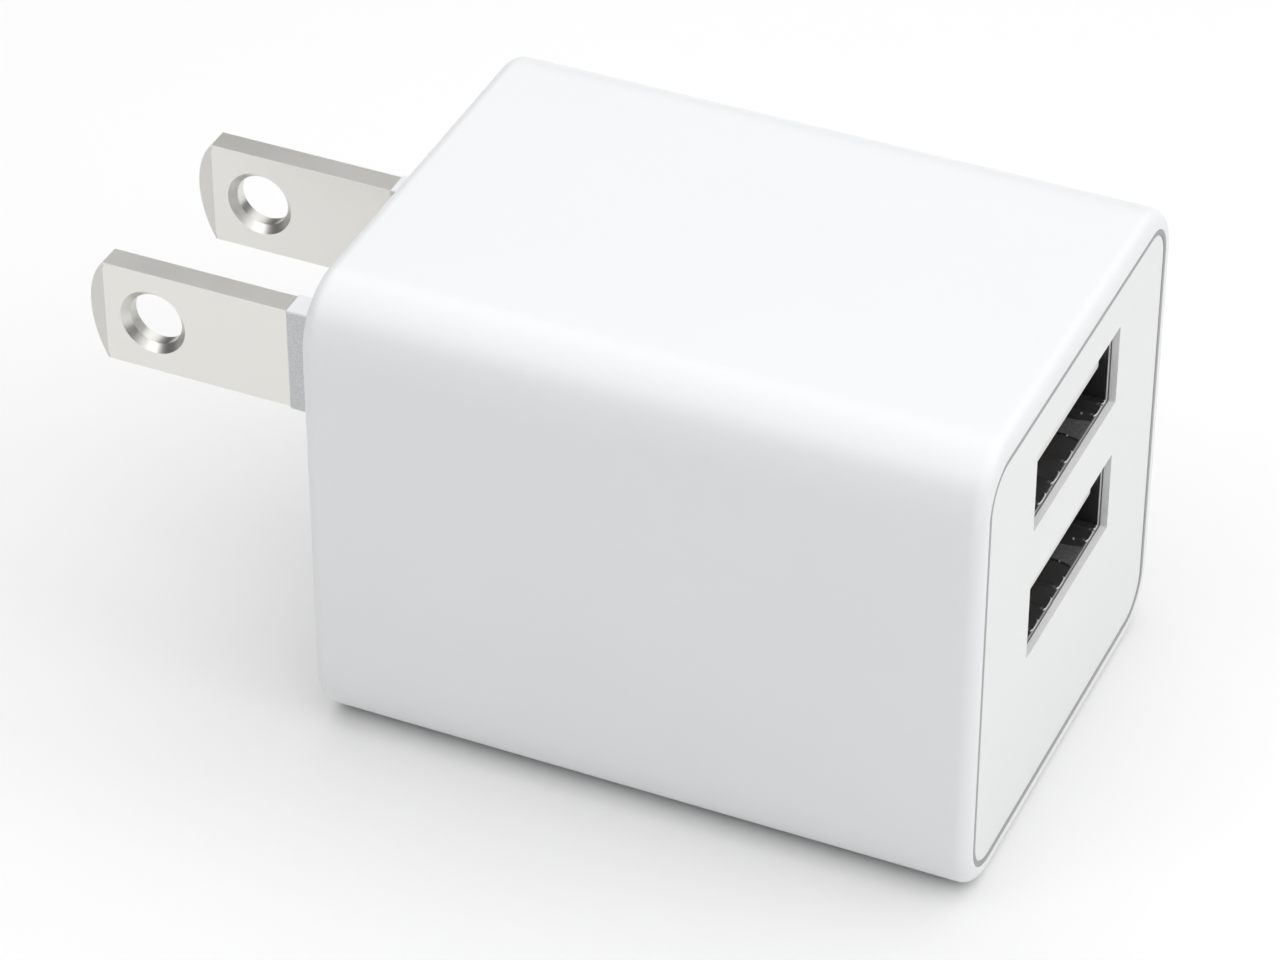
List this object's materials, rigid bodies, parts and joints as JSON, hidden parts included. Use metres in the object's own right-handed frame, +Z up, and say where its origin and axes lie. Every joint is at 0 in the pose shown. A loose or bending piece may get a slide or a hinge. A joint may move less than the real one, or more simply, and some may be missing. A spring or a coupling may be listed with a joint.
{
  "type": "usb wall charger",
  "caption": "Compact square-section wall charger with stacked USB-A ports in a flush end panel and fixed flat plug blades with insulated roots.",
  "frame": {"origin": "middle of the bounding box's footprint, on the surface that the charger lies on", "axes": "+X out of the USB ports, -X along the plug blades, +Z up, away from the surface"},
  "size_m": [0.0552, 0.0286, 0.0286],
  "materials": {
    "white_plastic": "fine satin",
    "nickel_plated_brass": "bright nickel plating over brass",
    "sleeve_plastic": "matte, lightly textured",
    "retainer_plastic": "as moulded",
    "plated_steel": "bright plated",
    "black_plastic": "as moulded",
    "tongue_plastic": "as moulded",
    "contact_metal": "gold flash",
    "board_laminate": "solder mask",
    "insulation_film": "smooth film",
    "tinned_wire": "tinned",
    "ferrite": "sintered",
    "winding_tape": "polyester tape",
    "capacitor_sleeve": "shrunk sleeve",
    "aluminium_can": "plain",
    "resistor_coating": "lacquer",
    "ceramic_coating": "dipped",
    "chip_plastic": "moulded",
    "black_insulation": "wire insulation",
    "white_insulation": "wire insulation"
  },
  "bodies": {
    "charger": {"housing": "white_plastic", "front_panel": "white_plastic", "blade_near": "nickel_plated_brass", "blade_far": "nickel_plated_brass", "blade_sleeve_near": "sleeve_plastic", "blade_sleeve_far": "sleeve_plastic", "blade_retainer": "retainer_plastic", "port_upper_shell": "plated_steel", "port_lower_shell": "plated_steel", "port_upper_insulator": "tongue_plastic", "port_lower_insulator": "tongue_plastic", "port_upper_liner": "black_plastic", "port_lower_liner": "black_plastic", "port_upper_tail_1": "contact_metal", "port_upper_tail_2": "contact_metal", "port_upper_tail_3": "contact_metal", "port_upper_tail_4": "contact_metal", "port_lower_tail_1": "contact_metal", "port_lower_tail_2": "contact_metal", "port_lower_tail_3": "contact_metal", "port_lower_tail_4": "contact_metal", "main_board": "board_laminate", "usb_board": "board_laminate", "insulation_sheet": "insulation_film", "board_link_1": "tinned_wire", "board_link_2": "tinned_wire", "board_link_3": "tinned_wire", "board_link_4": "tinned_wire", "transformer_core_lower": "ferrite", "transformer_core_upper": "ferrite", "transformer_bobbin": "black_plastic", "transformer_winding": "winding_tape", "bulk_capacitor_1": "capacitor_sleeve", "bulk_capacitor_2": "capacitor_sleeve", "output_capacitor_1": "aluminium_can", "output_capacitor_2": "aluminium_can", "input_inductor": "ferrite", "fusible_resistor": "resistor_coating", "y_capacitor": "ceramic_coating", "bridge_rectifier": "chip_plastic", "controller_chip": "chip_plastic", "optocoupler": "chip_plastic", "output_rectifier": "chip_plastic", "port_controller_chip": "chip_plastic", "live_lead": "black_insulation", "neutral_lead": "white_insulation"},
    "upper_contacts": {"port_upper_contact_1": "contact_metal", "port_upper_contact_2": "contact_metal", "port_upper_contact_3": "contact_metal", "port_upper_contact_4": "contact_metal"},
    "lower_contacts": {"port_lower_contact_1": "contact_metal", "port_lower_contact_2": "contact_metal", "port_lower_contact_3": "contact_metal", "port_lower_contact_4": "contact_metal"}
  },
  "joints": [
    {"name": "upper_contact_spring", "type": "hinge", "parent": "charger", "child": "upper_contacts", "pos_m": [0.0183, 0, 0.02245], "axis": [0, -1, 0], "range_deg": [0, 3.5], "stiffness_Nm_per_rad": 0.3},
    {"name": "lower_contact_spring", "type": "hinge", "parent": "charger", "child": "lower_contacts", "pos_m": [0.0183, 0, 0.01405], "axis": [0, -1, 0], "range_deg": [0, 3.5], "stiffness_Nm_per_rad": 0.3}
  ]
}
